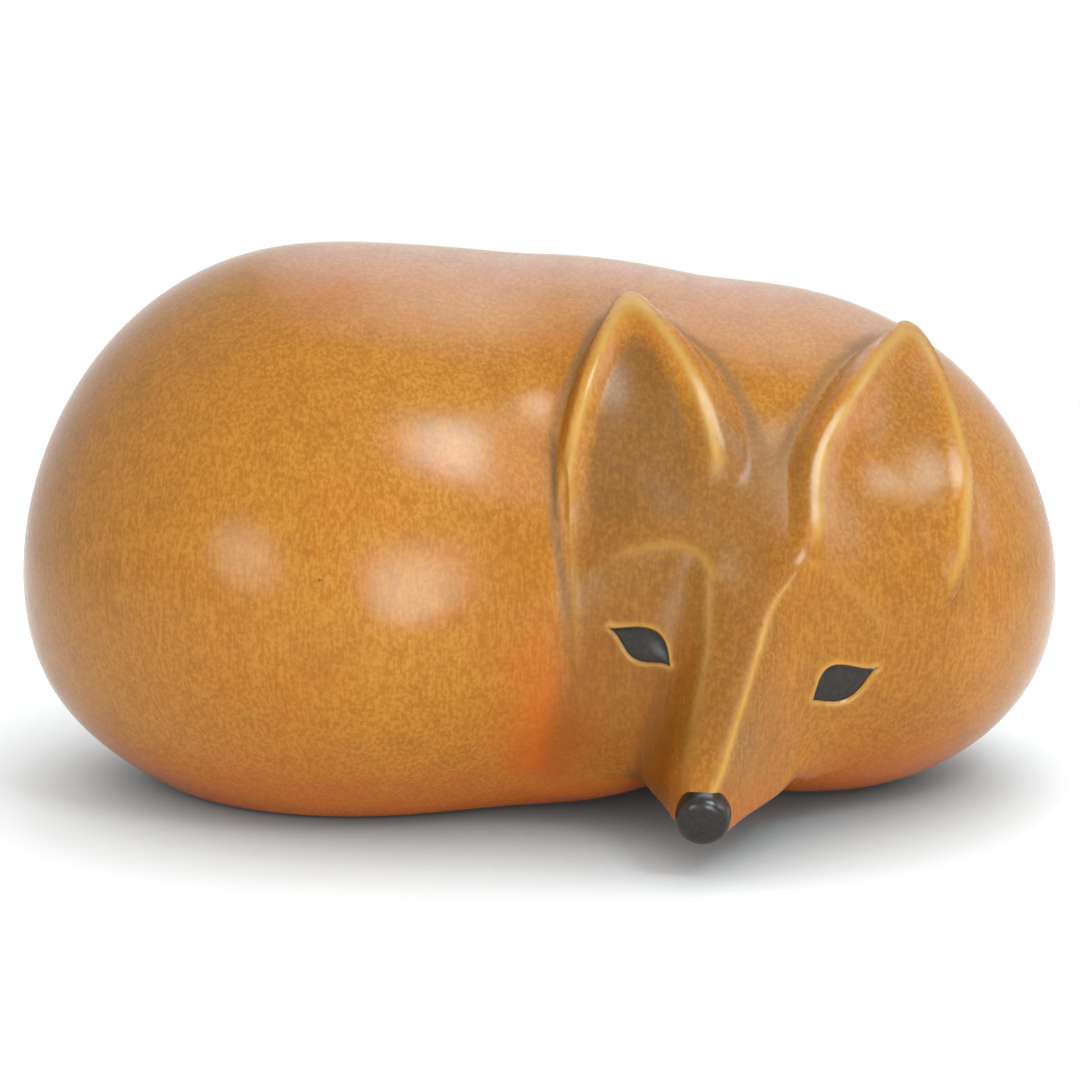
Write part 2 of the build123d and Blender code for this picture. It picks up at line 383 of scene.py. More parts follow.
# How deep the glaze pools in the cup of each ear; the left cup's deeper pool is partly painted shade, as
# that cup faces away from the light
CUP_POOL_AND_SHADE = {"left_ear": 1.0, "right_ear": 0.35}

# Where an ear's rim is highest, as a share of its width inside the outline, and where the outer side
# meets the ground, as a share of that side's width
RIM_CREST = 0.42
SIDE_FOOT = 0.8


class Fox:
    """Clay form of the figure, worked out from the scene's settings.

    Points are arrays whose last axis is x, y, z. A field is negative inside the clay, zero on its
    surface and about the distance from it nearby.
    """

    def __init__(self, scene):
        self.body = scene.fox_body
        self.face = scene.fox_face
        self.ear_sizes = scene.fox_ears
        body = self.body
        haunch = np.array(body.haunch_centre)
        shoulder = np.array(body.shoulder_centre)
        self.hub = (haunch + shoulder) / 2
        self.hub[2] = body.seam_height
        self.haunch = (haunch, np.array(body.haunch_half), 0.0)
        self.back = (np.array(body.back_centre), np.array(body.back_half), body.back_tilt)
        self.shoulder = (shoulder, np.array(body.shoulder_half), body.shoulder_tilt)
        self.touches = [(unit(np.array(touch.place) * MM - self.hub), touch.raised * MM, touch.width * MM)
                        for touch in BODY_TOUCHES.values()]
        self._set_face_axes()
        self.ears = {"left_ear": self._ear_axes(scene.fox_left_ear),
                     "right_ear": self._ear_axes(scene.fox_right_ear)}

    def _set_face_axes(self):
        """Axes of the face: along from the brow to the nose, out from the face, aside to the right."""
        direction = heading(*self.face.brow)
        self.brow = self.hub + direction * self.body_reach(direction)
        self.nose_centre = np.array(self.face.nose_centre)
        self.snout_length = np.linalg.norm(self.nose_centre - self.brow)
        self.along = (self.nose_centre - self.brow) / self.snout_length
        facing = heading(0.0, self.face.face_tilt)
        self.out = unit(facing - self.along * (facing @ self.along))
        self.aside = np.cross(self.out, self.along)
        self.nose_way = heading(*self.face.nose_facing)

    def _ear_axes(self, ear):
        """Base point, axes across, up and out of the cup, and length of an ear."""
        base_way = heading(*ear.base)
        tip_way = heading(*ear.tip)
        base = self.hub + base_way * self.body_reach(base_way)
        tip = self.hub + tip_way * (self.body_reach(tip_way) + self.ear_sizes.lift)
        out = heading(*ear.facing)
        across = unit(np.cross(tip - base, out))
        up = np.cross(out, across)
        return {"shape": ear, "base": base, "across": across, "up": up, "out": out,
                "length": (tip - base) @ up}

    def _mass_reach(self, directions, mass):
        """Reach from the hub to the far side of a mass: the larger root of ray on ellipsoid, or 0."""
        centre, half, tilt = mass

        def in_mass_axes(vectors):
            """Vectors turned into the axes of the mass and divided by its half sizes."""
            x, y, z = np.moveaxis(vectors, -1, 0)
            turned = [cos(tilt) * x + sin(tilt) * z, y, cos(tilt) * z - sin(tilt) * x]
            return np.stack(turned, axis=-1) / half

        start = in_mass_axes(self.hub - centre)
        step = in_mass_axes(directions)
        half_slope = step @ start
        squared = (step * step).sum(axis=-1)
        inside = half_slope**2 - squared * (start @ start - 1.0)
        root = (np.sqrt(np.maximum(inside, 0.0)) - half_slope) / squared
        return np.where(inside > 0.0, np.maximum(root, 0.0), 0.0)

    def body_reach(self, directions):
        """Reach from the hub to the body: the three masses blended, with the touches as bells on them."""
        rear = blended(self._mass_reach(directions, self.haunch), self._mass_reach(directions, self.back),
                       self.body.haunch_blend)
        reach = blended(rear, self._mass_reach(directions, self.shoulder), self.body.shoulder_blend)
        touched = reach
        for way, raised, width in self.touches:
            squared_distance = 2.0 * (1.0 - directions @ way) * reach**2
            touched = touched + raised * np.exp(-squared_distance / width**2)
        return touched

    def body_field(self, points):
        """Distance past the body's surface, measured from the hub."""
        rays = points - self.hub
        distance = np.maximum(np.linalg.norm(rays, axis=-1), 1e-9)
        return distance - self.body_reach(rays / distance[..., None])

    def face_places(self, points):
        """Places of points aside of the bridge, along the snout and out from the brow."""
        rays = points - self.brow
        return rays @ self.aside, rays @ self.along, rays @ self.out

    def ridges(self, along):
        """How far aside the left and the right ridge lie, along the snout."""
        return -at_stations(along, "left_ridge") * MM, at_stations(along, "right_ridge") * MM

    def slopes(self, along):
        """Steepness beside the left and the right ridge, and depth of the left flank, along the snout."""
        left = at_stations(along, "left_slope")
        right = at_stations(along, "right_slope")
        return left, right, at_stations(along, "left_flank") * MM

    def face_field(self, points):
        """Wedge of the face: a bridge between two ridges, cheeks that fall from them, a chin and an end.

        Past a ridge by p, the fall is slope * (p + sqrt(p^2 + r^2)) / 2, which rounds the ridge by r.
        The left flank's fall f levels out to its depth d as d * (1 - exp(-f / d)).
        """
        face = self.face
        aside, along, out = self.face_places(points)
        left, right = self.ridges(along)
        left_slope, right_slope, flank = self.slopes(along)
        past_left = left - aside
        past_right = aside - right
        ridge_round = face.ridge_round * (1.0 + 4.0 * ease(5 * MM, -7 * MM, along))
        left_root = np.sqrt(past_left**2 + ridge_round**2)
        right_root = np.sqrt(past_right**2 + ridge_round**2)
        left_fall = left_slope * (past_left + left_root) / 2
        levelling = np.exp(-left_fall / flank)
        on_left = np.maximum(past_left, 0.0)
        on_right = np.maximum(past_right, 0.0)
        drop = flank * (1.0 - levelling) + face.left_cheek_slope * on_left
        drop = drop + right_slope * (past_right + right_root) / 2
        drop = drop + (on_left**2 + on_right**2 * (1.0 + ease(12 * MM, 26 * MM, along))) / face.cheek_curve
        slope = left_slope * levelling * (1 + past_left / left_root) / 2
        slope = slope + right_slope * (1 + past_right / right_root) / 2
        fall = MM * (np.maximum(-along, 0.0) / face.forehead_fall) ** 2
        bridge = np.clip(aside, left, right) - (left + right) / 2
        top = face.bridge_lift + face.bridge_roll * bridge - fall
        roof = (out - top + drop) / np.sqrt(1.0 + slope**2)
        chin = face.chin_height + face.chin_rise * (points[..., 1] - self.nose_centre[1]) - points[..., 2]
        chin = chin - face.right_chin_drop * ease(8 * MM, 22 * MM, aside)
        end = (points - self.nose_centre) @ self.nose_way - face.snout_end
        beside_snout = past_either(aside, (-6 * MM, -16 * MM), (10 * MM, 20 * MM))
        jaw_round = face.jaw_round + (face.wide_jaw_round - face.jaw_round) * beside_snout
        return blended(blended(roof, chin, jaw_round), end, face.end_round)

    def clay_field(self, points):
        """Body and face, softly joined, more so at the jaws."""
        face = self.face
        aside, along, _ = self.face_places(points)
        beside_snout = past_either(aside, (-9 * MM, -18 * MM), (9 * MM, 19 * MM))
        blend = face.blend + (face.jaw_blend - face.blend) * beside_snout * ease(16 * MM, 30 * MM, along)
        return -blended(-self.body_field(points), -self.face_field(points), blend)

    def skin_field(self, points):
        """Body and face with the relief of the face on them."""
        return self.clay_field(points) - self.face_relief(points)

    def outward(self, points, field, step=0.05 * MM):
        """Unit normals of a field, from differences to both sides of each point."""
        steps = np.eye(3) * step
        return unit(np.stack([field(points + shift) - field(points - shift) for shift in steps], axis=-1))

    def line_distance(self, aside, along, line):
        """Distance to a line, the side from -1 on the left of its run to 1, and the share of it reached.

        The nearest drawn point of the line slides along the line to the foot of the perpendicular.
        """
        curve = bent_line(line.start, line.bend, line.end) * MM
        last = len(curve) - 1
        offset = np.stack([aside, along], axis=-1)[..., None, :] - curve
        nearest = (offset**2).sum(axis=-1).argmin(axis=-1)
        offset = np.take_along_axis(offset, nearest[..., None, None], axis=-2)[..., 0, :]
        run = np.gradient(curve, axis=0)[nearest]
        spacing = np.linalg.norm(run, axis=-1)
        slide = (offset * run).sum(axis=-1) / spacing**2
        slide = np.clip(slide, np.where(nearest == 0, 0.0, -0.5), np.where(nearest == last, 0.0, 0.5))
        offset = offset - slide[..., None] * run
        distance = np.linalg.norm(offset, axis=-1)
        turn = run[..., 0] * offset[..., 1] - run[..., 1] * offset[..., 0]
        side = turn / np.maximum(spacing * distance, 1e-12)
        return distance, side, (nearest + slide) / last

    def raised_line(self, aside, along, line):
        """Height of a raised line: a hump that falls away by its own width on either side."""
        distance, side, part = self.line_distance(aside, along, line)
        height = line.start_height + (line.end_height - line.start_height) * part
        width = line.left_fall + (line.right_fall - line.left_fall) * ease(-1.0, 1.0, side)
        return height * MM * hump(distance, width * MM)

    def lid_distance(self, aside, along, eye):
        """About the distance outside an eye's outline, negative inside."""
        inner, chord, upward = eye_axes(eye)
        size = np.linalg.norm(chord)
        offset = np.stack([aside, along], axis=-1) - inner
        part = offset @ chord / size**2
        rise = offset @ upward
        within = np.clip(part, 0.0, 1.0)
        over_upper = rise - lid_height(eye.upper, within)
        over_lower = -rise - lid_height(eye.lower, within)
        over = np.where(rise > 0.0, over_upper, over_lower)
        past_end = np.maximum(np.maximum(-part, part - 1.0), 0.0) * size
        return np.where(past_end > 0.0, np.hypot(np.maximum(over, 0.0), past_end), over)

    def line_relief(self, points):
        """Height of the brows and cheek edges, which end behind the face."""
        aside, along, out = self.face_places(points)
        relief = sum(self.raised_line(aside, along, line) for line in RAISED_LINES.values())
        return relief * ease(-40 * MM, -30 * MM, out)

    def face_relief(self, points):
        """Height of the brows and cheek edges, with the sockets and lids of the eyes."""
        face = self.face
        aside, along, out = self.face_places(points)
        relief = self.line_relief(points)
        in_front = ease(-40 * MM, -30 * MM, out)
        for eye in EYES.values():
            distance = self.lid_distance(aside, along, eye)
            lid = face.lid_height * bell(distance, face.lid_width)
            socket = face.socket_depth * ease(0.4 * MM, -0.2 * MM, distance)
            relief = relief + (lid - socket) * in_front
        return relief

    def ear_places(self, points, ear):
        """Places of points across and up an ear, and about the distance outside its leaf-shaped outline.

        Each side's half width is that of the base times 1 - s^fullness, s being the share of the length.
        """
        shape = ear["shape"]
        rays = points - ear["base"]
        across, up = rays @ ear["across"], rays @ ear["up"]
        left, right = ear_half_widths(ear, up)
        steep_left = np.hypot(1.0, shape.left_half * shape.left_fullness / ear["length"])
        steep_right = np.hypot(1.0, shape.right_half * shape.right_fullness / ear["length"])
        past_left = (-across - left) / steep_left
        past_right = (across - right) / steep_right
        return across, up, blended(past_left, past_right, self.ear_sizes.tip_round)

    def ear_sides(self, across, up, ear):
        """Width of the outer side and height at which the rim runs out, eased from left to right."""
        shape = ear["shape"]
        left, right = ear_half_widths(ear, up)
        turn = ease(-3 * MM, 3 * MM, across - (right - left) / 2)
        side = shape.left_side + (shape.right_side - shape.left_side) * turn
        end = shape.left_end + (shape.right_end - shape.left_end) * turn
        return side * (1.0 - 0.65 * ease(0.55, 1.0, up / ear["length"])), end

    def ear_relief(self, points, ear):
        """Height of an ear: its side rises to a round rim, and its cup lies lower and ends at the base."""
        sizes = self.ear_sizes
        across, up, outside = self.ear_places(points, ear)
        side, end = self.ear_sides(across, up, ear)
        rim = sizes.base_lift + (sizes.lift - sizes.base_lift) * ease(-4 * MM, 22 * MM, up)
        rim = rim * ease(-6 * MM, 6 * MM, up - end)
        floor = (sizes.lift - sizes.cup_depth) * ease(-10 * MM, 24 * MM, up)
        floor = floor + sizes.cup_tilt * across * ease(-6 * MM, 10 * MM, up)
        raised = ease(SIDE_FOOT * side, -0.3 * sizes.rim, outside)
        inside = np.maximum(-outside - RIM_CREST * sizes.rim, 0.0)
        wall = ease(0.0, sizes.rim_slope, inside)
        bowl = 1.0 - bell(inside, sizes.cup_slope)
        hollow = 0.35 * wall + 0.65 * bowl
        facing = ease(-0.2, 0.2, unit(points - self.hub) @ ear["out"])
        return raised * (rim + (floor - rim) * hollow) * facing

    def face_marks(self, points):
        """Where the glaze of the face runs thin, pools, lies in creases and blushes, and where shade is
        painted on the snout's left flank, beside the fold and in the fold's groove, from 0 to 1.
        """
        aside, along, out = self.face_places(points)
        left, right = self.ridges(along)
        in_front = ease(-30 * MM, -20 * MM, out)
        on_snout = ease(-2 * MM, 8 * MM, along) * ease(-10 * MM, -2 * MM, out)
        on_left_ridge = hump(aside - left, 0.35 * MM)
        on_right_ridge = hump(aside - right, 0.3 * MM)
        thin = strongest((on_left_ridge, 0.45), (on_right_ridge, 1.0)) * on_snout
        for line in RAISED_LINES.values():
            distance, _, part = self.line_distance(aside, along, line)
            pale = line.pale * hump(distance, 0.5 * MM) * in_front
            thin = np.maximum(thin, pale * ease(1.05, 0.65, part))
        for eye in EYES.values():
            distance = self.lid_distance(aside, along, eye)
            thin = np.maximum(thin, 0.7 * bell(distance - 0.3 * MM, 0.5 * MM) * in_front)
        # Dark glaze in the fold's crease, which also paints the shade of its groove.
        distance, _, part = self.line_distance(aside, along, FOLD_CREASE)
        crease_and_painted_shade = 0.75 * bell(distance, 0.6 * MM) * in_front
        crease_and_painted_shade = crease_and_painted_shade * ease(0.0, 0.15, part) * ease(1.0, 0.6, part)
        past_fold = aside - 2.2 * MM * ease(10 * MM, 22 * MM, along)
        left_half = ease(16 * MM, -2 * MM, aside) * ease(-30 * MM, -24 * MM, past_fold)
        left_half = left_half * ease(44 * MM, 22 * MM, along) * ease(-30 * MM, -12 * MM, along)
        right_cheek = ease(5 * MM, 12 * MM, aside) * ease(40 * MM, 30 * MM, aside)
        right_cheek = right_cheek * ease(-16 * MM, -4 * MM, along) * ease(30 * MM, 10 * MM, along)
        # Painted shade: the snout's steep left flank lies in shade, and the pool and the blush darken it.
        beside = left - aside
        flank = ease(0.5 * MM, 3 * MM, beside) * ease(11 * MM, 5 * MM, beside)
        flank = flank * ease(4 * MM, 20 * MM, along)
        # Beside the fold near the left ear the glaze pools, and shade is painted where the back darkens.
        by_fold_pool_and_shade = bell(aside + 34 * MM, 9 * MM) * bell(along - 4 * MM, 16 * MM)
        low_fold = bell(aside + 25 * MM, 8 * MM) * bell(along - 31 * MM, 12 * MM)
        pool_and_painted_shade = strongest((left_half, 0.8), (right_cheek, 0.35), (by_fold_pool_and_shade, 0.25), (flank, 0.95)) * in_front
        blush_and_painted_shade = strongest((low_fold, 0.95), (flank, 0.7), (by_fold_pool_and_shade, 0.3)) * in_front
        return {"thin": thin, "pool_and_painted_shade": pool_and_painted_shade, "crease_and_painted_shade": crease_and_painted_shade, "blush_and_painted_shade": blush_and_painted_shade}

    def ear_marks(self, points, ear, depth):
        """Where an ear's glaze runs thin on the rim, pools in the cup, with painted shade in the left cup,
        and lies in the crease outside.
        """
        sizes = self.ear_sizes
        across, up, outside = self.ear_places(points, ear)
        facing = ease(0.0, 0.3, unit(points - self.hub) @ ear["out"])
        side, end = self.ear_sides(across, up, ear)
        near_tip = ease(0.75, 1.0, up / ear["length"])
        from_crest = outside / sizes.rim + RIM_CREST - 0.22 * near_tip
        thin = bell(from_crest, 0.36 + 0.14 * near_tip) * ease(-2 * MM, 3 * MM, up - end) * facing
        # The depth is larger in the left cup, where the pool also paints shade.
        pool_and_painted_shade = depth * ease(-1.8 * MM, -5 * MM, outside) * ease(-14 * MM, -2 * MM, up) * facing
        foot = bell(outside - SIDE_FOOT * side, 0.9 * MM) * ease(2 * MM, 10 * MM, up)
        crease_and_painted_shade = 0.5 * foot * ease(1.02, 0.8, up / ear["length"]) * facing
        return {"thin": thin, "pool_and_painted_shade": pool_and_painted_shade, "crease_and_painted_shade": crease_and_painted_shade}

    def glaze_marks(self, points):
        """Where the glaze runs thin, pools, lies in creases, blushes and is dull, from 0 to 1; the pool,
        blush and crease marks also paint shade.
        """
        marks = self.face_marks(points)
        for name, ear in self.ears.items():
            for mark, values in self.ear_marks(points, ear, CUP_POOL_AND_SHADE[name]).items():
                marks[mark] = np.maximum(marks[mark], values)
        low = ease(18 * MM, 2 * MM, points[..., 2])
        marks["blush_and_painted_shade"] = np.maximum(marks["blush_and_painted_shade"], 0.6 * low)
        fold = BODY_TOUCHES["fold_top"]
        from_fold = np.linalg.norm(points - np.array(fold.place) * MM, axis=-1)
        marks["dull"] = bell(from_fold, fold.width * MM)
        return marks


def eye_axes(eye):
    """Inner corner of an eye, the way to its outer corner and the way up from that line."""
    inner = np.array(eye.inner) * MM
    chord = np.array(eye.outer) * MM - inner
    upward = np.array([chord[1], -chord[0]]) / np.linalg.norm(chord)
    return inner, chord, upward * np.sign(-upward[1])


def lid_height(lid, part):
    """Height of a lid over the line between the corners: s^p (1 - s)^q, scaled to its peak."""
    rise = lid.pointed * lid.peak
    fall = lid.pointed - rise
    highest = lid.peak**rise * (1.0 - lid.peak) ** fall
    return lid.height * MM * part**rise * (1.0 - part) ** fall / highest


def ear_half_widths(ear, up):
    """Half widths of an ear at a height over its base, the left one tucked in low down."""
    shape = ear["shape"]
    part = np.maximum(up / ear["length"], 0.0)
    left = shape.left_half * (1.0 - part**shape.left_fullness)
    left = left - shape.left_tuck * ease(10 * MM, -10 * MM, up)
    right = shape.right_half * (1.0 - part**shape.right_fullness)
    return left, right


# Meshes

def grid_faces(rows, columns, wrap_rows=False, wrap_columns=False):
    """Quads of a grid of points numbered row by row, closed round either way where it wraps."""
    row = np.arange(rows if wrap_rows else rows - 1)[:, None]
    column = np.arange(columns if wrap_columns else columns - 1)[None, :]
    next_row = (row + 1) % rows
    next_column = (column + 1) % columns
    corners = [row * columns + column, row * columns + next_column,
               next_row * columns + next_column, next_row * columns + column]
    return np.stack(corners, axis=-1).reshape(-1, 4)


def border(numbers):
    """Numbers round the edge of a grid, in one direction, starting at its first corner."""
    return np.concatenate([numbers[0, :-1], numbers[:-1, -1], numbers[-1, :0:-1], numbers[:0:-1, 0]])


# A slab's hidden underside has one row and column for this many of its top
SLAB_STEP = 3


def slab_mesh(top, bottom):
    """Closed mesh of a fine grid of points over a coarse one, joined along their four edges."""
    rows, columns = top.shape[:2]
    under = bottom[::SLAB_STEP, ::SLAB_STEP]
    under_rows, under_columns = under.shape[:2]
    first_under = rows * columns
    fine_edge = border(np.arange(first_under).reshape(rows, columns))
    under_numbers = np.arange(under_rows * under_columns).reshape(under_rows, under_columns)
    coarse_edge = first_under + border(under_numbers)
    upper = grid_faces(rows, columns)
    lower = first_under + grid_faces(under_rows, under_columns)[:, ::-1]
    stretches = fine_edge.reshape(-1, SLAB_STEP)
    next_stretch = np.roll(stretches[:, 0], -1)
    sides = np.column_stack([next_stretch, stretches[:, ::-1], coarse_edge, np.roll(coarse_edge, -1)])
    points = np.concatenate([top.reshape(-1, 3), under.reshape(-1, 3)])
    return points, [upper, lower, sides]


def turned_outward(points, faces):
    """Groups of faces in the order that gives the closed mesh a positive volume."""
    volume = 0.0
    for group in faces:
        first = points[group[:, 0]]
        for corner in range(1, group.shape[1] - 1):
            volume += (np.cross(points[group[:, corner]], points[group[:, corner + 1]]) * first).sum()
    return faces if volume > 0.0 else [group[:, ::-1] for group in faces]


def grid_normals(points, outward):
    """Unit normals of a grid of points, on the side that the given directions point to."""
    normals = unit(np.cross(np.gradient(points, axis=1), np.gradient(points, axis=0)))
    return normals * np.sign((normals * outward).sum(axis=-1, keepdims=True))


# Height over which a patch takes on the shading of the surface that it rises from
SOFT_EDGE = 0.7 * MM


def slab_normals(top, bottom, outward, under, height):
    """Normals of a slab's points: its top's turn into the ones under it where its height runs out."""
    part = ease(0.0, SOFT_EDGE, height)[..., None]
    over = unit(grid_normals(top, outward) * part + under * (1.0 - part))
    below = -grid_normals(bottom, outward)[::SLAB_STEP, ::SLAB_STEP]
    return np.concatenate([over.reshape(-1, 3), below.reshape(-1, 3)])


# Turn between two faces from which their edge is shaded sharp
SHARP_EDGE = radians(40.0)


def make_piece(name, points, faces, material, marks=None, normals=None):
    """Object of a closed mesh, smooth but for sharp edges, that stands for the CAD node of its name."""
    mesh = bpy.data.meshes.new(name)
    polygons = [face for group in turned_outward(points, faces) for face in group.tolist()]
    mesh.from_pydata(points.tolist(), [], polygons)
    mesh.shade_smooth()
    if normals is None:
        mesh.set_sharp_from_angle(angle=SHARP_EDGE)
    else:
        mesh.normals_split_custom_set_from_vertices(normals.tolist())
    for mark, values in (marks or {}).items():
        layer = mesh.attributes.new(mark, "FLOAT", "POINT")
        layer.data.foreach_set("value", values.astype(np.float32))
    mesh.materials.append(material)
    piece = bpy.data.objects.new(name, mesh)
    bpy.context.scene.collection.objects.link(piece)
    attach(piece, "root")
    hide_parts(name.removesuffix("_glazed"))


# Materials

class Nodes:
    """Short way to build a node tree: each call adds one node and links or sets its inputs."""

    def __init__(self, tree):
        self.tree = tree
        tree.nodes.clear()

    def add(self, kind, values=None, **settings):
        """New node of a kind: sockets among the values are linked to its inputs, and others are set."""
        node = self.tree.nodes.new(kind)
        for setting, value in settings.items():
            setattr(node, setting, value)
        for socket, value in (values or {}).items():
            if isinstance(value, bpy.types.NodeSocket):
                self.tree.links.new(value, node.inputs[socket])
            else:
                node.inputs[socket].default_value = value
        return node

    def math(self, operation, *values):
        """Result of one arithmetic step on numbers or sockets."""
        return self.add("ShaderNodeMath", dict(enumerate(values)), operation=operation).outputs[0]

    def ramp(self, value, low, high, to_low=0.0, to_high=1.0):
        """Smooth step from to_low, where the value is low, to to_high, where it is high."""
        values = {"Value": value, "From Min": low, "From Max": high, "To Min": to_low, "To Max": to_high}
        return self.add("ShaderNodeMapRange", values, interpolation_type="SMOOTHSTEP").outputs["Result"]

    def mix(self, part, first, second):
        """Colour between two others."""
        return self.add("ShaderNodeMix", {0: part, 6: first, 7: second}, data_type="RGBA").outputs[2]

    def noise(self, vector, scale, detail=4.0, roughness=0.55, distortion=0.0):
        """Soft noise of a scale per metre."""
        values = {"Vector": vector, "Scale": scale, "Detail": detail, "Roughness": roughness,
                  "Distortion": distortion}
        return self.add("ShaderNodeTexNoise", values).outputs["Fac"]

    def mark(self, name):
        """One of the marks that a piece's mesh holds."""
        return self.add("ShaderNodeAttribute", attribute_name=name).outputs["Fac"]


def rgba(value):
    """Colour with full cover."""
    return (*value, 1.0)


def new_material(name):
    """Empty material, and the short way to build its nodes."""
    material = bpy.data.materials.new(name)
    material.use_nodes = True
    return material, Nodes(material.node_tree)


def glaze_material(name, glaze):
    """Satin stoneware glaze: flecked amber, thin on edges, pooled in hollows and blushing low down, with
    painted shade laid in through the pool, blush and crease marks.
    """
    material, nodes = new_material(name)
    where = nodes.add("ShaderNodeTexCoord").outputs["Object"]
    height = nodes.add("ShaderNodeSeparateXYZ", {0: where}).outputs["Z"]
    upright = nodes.add("ShaderNodeMapping", {"Vector": where, "Scale": (1.0, 1.0, 0.16)}).outputs[0]
    flecks = nodes.noise(where, 1300.0, detail=4.0, roughness=0.62)
    streaks = nodes.noise(upright, 1900.0, detail=3.0, roughness=0.6)
    clouds = nodes.noise(where, 46.0, detail=5.0, distortion=0.5)
    drifts = nodes.noise(where, 210.0, detail=3.0)
    grain = nodes.math("ADD", nodes.math("MULTIPLY", flecks, 0.55), nodes.math("MULTIPLY", streaks, 0.45))
    pores = nodes.add("ShaderNodeTexVoronoi", {"Vector": where, "Scale": 60.0}).outputs["Distance"]
    # The pool, blush and crease marks carry painted shade as well as the glaze's own pooling, blush and
    # crease colour.
    blush_and_painted_shade = nodes.math("MULTIPLY", nodes.mark("blush_and_painted_shade"), nodes.ramp(clouds, 0.30, 0.62, 0.6, 1.0))
    pool_and_painted_shade = nodes.math("MULTIPLY", nodes.mark("pool_and_painted_shade"), nodes.ramp(grain, 0.38, 0.66, 1.0, 0.72))
    thin = nodes.math("MULTIPLY", nodes.mark("thin"), nodes.ramp(drifts, 0.30, 0.60, 0.6, 1.0))
    crease_and_painted_shade = nodes.mark("crease_and_painted_shade")
    bare = nodes.ramp(height, 0.5 * MM, 0.15 * MM)
    layers = (
        (nodes.ramp(grain, 0.41, 0.60), glaze.honey),
        (nodes.ramp(drifts, 0.45, 0.75, 0.0, 0.22), glaze.olive),
        (nodes.ramp(clouds, 0.45, 0.75, 0.0, 0.22), glaze.rust),
        (blush_and_painted_shade, glaze.rust),
        (pool_and_painted_shade, glaze.olive),
        (thin, glaze.straw),
        (crease_and_painted_shade, glaze.slate),
        (nodes.ramp(pores, 0.026, 0.012), glaze.slate),
        (bare, glaze.clay),
    )
    tone = rgba(glaze.amber)
    for cover, tint in layers:
        tone = nodes.mix(cover, tone, rgba(tint))
    roughness = nodes.ramp(grain, 0.38, 0.62, 0.17, 0.23)
    for mark, rougher in ((bare, 0.4), (pool_and_painted_shade, 0.15), (crease_and_painted_shade, 0.6), (nodes.mark("dull"), 0.5)):
        roughness = nodes.math("MULTIPLY_ADD", mark, rougher, roughness)
    bump = nodes.add("ShaderNodeBump", {"Strength": 0.11, "Distance": 0.3 * MM, "Height": grain})
    surface = nodes.add("ShaderNodeBsdfPrincipled", {
        "Base Color": tone, "Roughness": roughness, "Normal": bump.outputs[0], "Specular IOR Level": 0.30})
    nodes.add("ShaderNodeOutputMaterial", {"Surface": surface.outputs[0]})
    return material


def black_glaze_material(name, glaze):
    """Glossy charcoal glaze with a faint brown cast where it is thin."""
    material, nodes = new_material(name)
    where = nodes.add("ShaderNodeTexCoord").outputs["Object"]
    flecks = nodes.noise(where, 1400.0, detail=3.0)
    brown = tuple(1.6 * part for part in glaze.charcoal)
    tone = nodes.mix(nodes.ramp(flecks, 0.40, 0.75), rgba(glaze.charcoal), rgba(brown))
    bump = nodes.add("ShaderNodeBump", {"Strength": 0.05, "Distance": 0.3 * MM, "Height": flecks})
    roughness = nodes.ramp(flecks, 0.3, 0.8, 0.18, 0.26)
    surface = nodes.add("ShaderNodeBsdfPrincipled", {
        "Base Color": tone, "Roughness": roughness, "Normal": bump.outputs[0], "Specular IOR Level": 0.35})
    nodes.add("ShaderNodeOutputMaterial", {"Surface": surface.outputs[0]})
    return material


def shared_material(name, maker, glaze):
    """The material of that name, made the first time it is asked for."""
    return bpy.data.materials.get(name) or maker(name, glaze)


# Pieces

# Body: its grid round and up, and the share of the way that its first row takes up
BODY_COLUMNS = 400
BODY_ROWS = 84
FIRST_ROW = 0.002


def seam_rows(last):
    """Row parameters from 0 to last, the first row thin so that both halves shade alike at the seam."""
    return np.concatenate([[0.0, FIRST_ROW * last], np.linspace(0.0, last, BODY_ROWS)[1:]])


def upper_shell(fox):
    """Dome over the seam: rays from the hub by bearing and height angle, outer wall, then inner wall."""
    bearings = np.linspace(0.0, 2 * pi, BODY_COLUMNS, endpoint=False)
    rises = seam_rows(pi / 2)
    directions = heading(bearings[None, :], rises[:, None])
    reach = fox.body_reach(directions)[..., None]
    outer = fox.hub + directions * reach
    inner = fox.hub + directions * (reach - fox.body.wall)
    points = np.concatenate([outer, inner[::-1]])
    faces = grid_faces(len(points), BODY_COLUMNS, wrap_rows=True, wrap_columns=True)
    return closed_poles(points, faces, (len(rises) - 1, len(rises)))


def closed_poles(points, faces, pole_rows):
    """The same mesh with each pole's row of points joined into one, and triangles round the poles."""
    columns = points.shape[1]
    number = np.arange(points.shape[0] * columns).reshape(-1, columns)
    for row in pole_rows:
        number[row] = number[row, 0]
    faces = number.ravel()[faces]
    first_joined = faces[:, 0] == faces[:, 1]
    last_joined = faces[:, 2] == faces[:, 3]
    groups = [faces[~first_joined & ~last_joined],
              faces[first_joined & ~last_joined][:, [0, 2, 3]],
              faces[~first_joined & last_joined][:, :3]]
    used = np.unique(np.concatenate([group.ravel() for group in groups]))
    return points.reshape(-1, 3)[used], [np.searchsorted(used, group) for group in groups]


